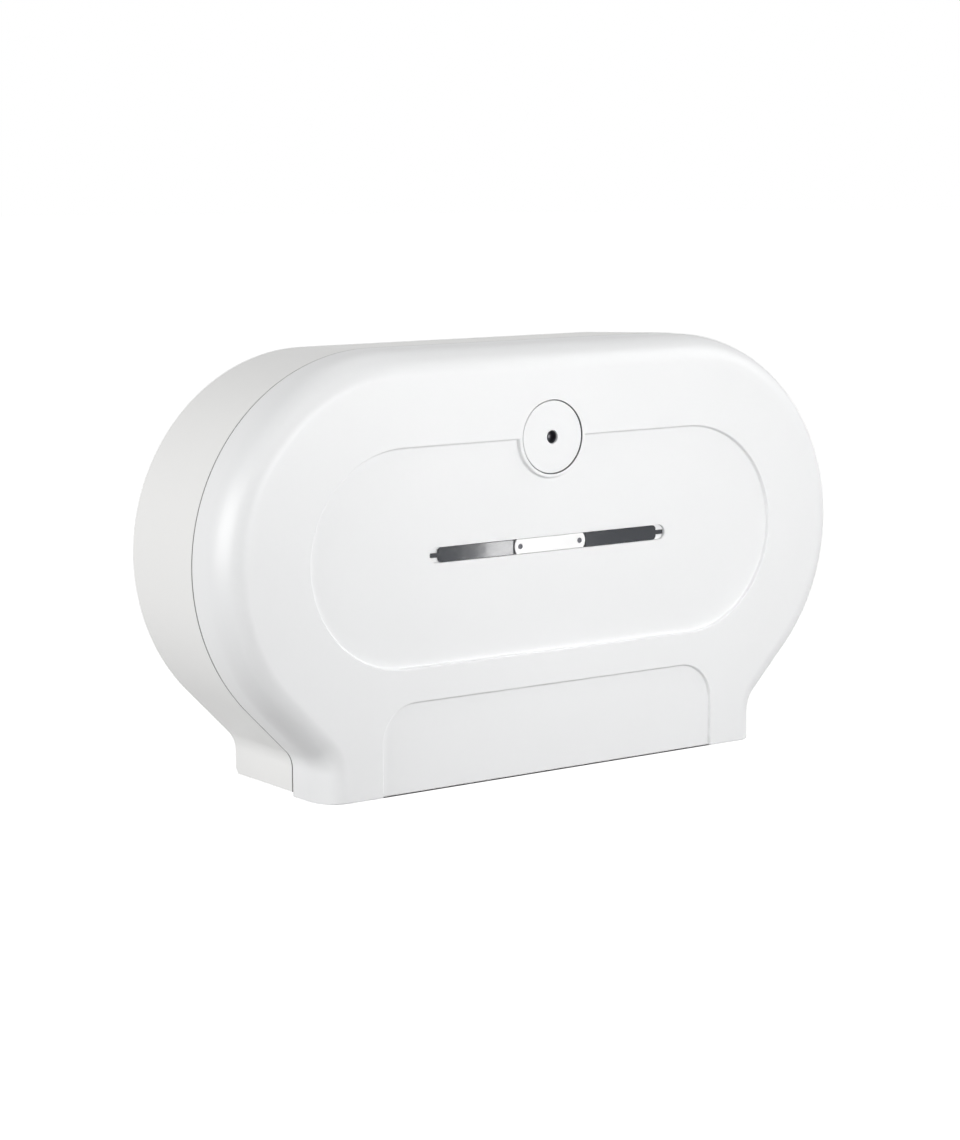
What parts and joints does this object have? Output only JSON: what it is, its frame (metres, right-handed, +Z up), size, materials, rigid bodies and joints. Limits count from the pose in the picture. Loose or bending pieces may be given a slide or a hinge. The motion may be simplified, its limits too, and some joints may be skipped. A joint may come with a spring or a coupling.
{
  "type": "jumbo toilet roll dispenser",
  "caption": "Wall-mounted twin jumbo toilet roll dispenser with a drop-down locking cover, level windows, turning roll hubs and tear blades over its paper outlets.",
  "frame": {"origin": "on the wall plane, midway between the two roll axes and at their height", "axes": "+X to the right seen from the front, +Y towards the wall, +Z up"},
  "size_m": [0.528, 0.127, 0.3],
  "materials": {
    "casing_white": "white moulded ABS with a soft gloss",
    "cover_white": "white moulded ABS, glossy",
    "inner_white": "white moulded ABS, unpolished inside",
    "smoke_lens": "dark smoked clear plastic, polished",
    "hub_grey": "grey moulded plastic",
    "zinc": "die-cast zinc, lightly satin",
    "steel": "bright steel"
  },
  "bodies": {
    "casing": {"rear_casing": "casing_white", "hinge_pin_left": "steel", "hinge_pin_right": "steel", "latch_post": "inner_white", "latch_screws": "steel", "axle_left": "inner_white", "axle_right": "inner_white", "axle_screws": "steel", "brake_spring_left": "steel", "brake_spring_right": "steel", "axle_washers": "steel", "axle_end_screws": "steel", "outlet_frame": "inner_white", "tear_blade_left": "steel", "tear_blade_centre": "steel", "tear_blade_right": "steel", "outlet_screws": "steel"},
    "cover": {"front_cover": "cover_white", "window_lens_left": "smoke_lens", "window_lens_right": "smoke_lens", "window_bridge": "cover_white", "bridge_screws": "zinc", "lock_disc": "cover_white", "lock_housing": "zinc", "lock_nut": "zinc"},
    "lock": {"lock_plug": "zinc", "key_pin": "steel", "lock_cam": "zinc", "cam_screw": "steel"},
    "hub_left": {"roll_hub_left": "hub_grey"},
    "hub_right": {"roll_hub_right": "hub_grey"}
  },
  "joints": [
    {"name": "cover_hinge", "type": "hinge", "parent": "casing", "child": "cover", "pos_m": [0, -0.085, -0.157], "axis": [1, 0, 0], "range_deg": [0, 90]},
    {"name": "key_turn", "type": "hinge", "parent": "cover", "child": "lock", "pos_m": [0, -0.104, 0.0752], "axis": [0, 1, 0], "range_deg": [0, 90]},
    {"name": "hub_spin_left", "type": "hinge", "parent": "casing", "child": "hub_left", "pos_m": [-0.124, -0.06, 0], "axis": [0, 1, 0], "continuous": true},
    {"name": "hub_spin_right", "type": "hinge", "parent": "casing", "child": "hub_right", "pos_m": [0.124, -0.06, 0], "axis": [0, 1, 0], "continuous": true}
  ]
}
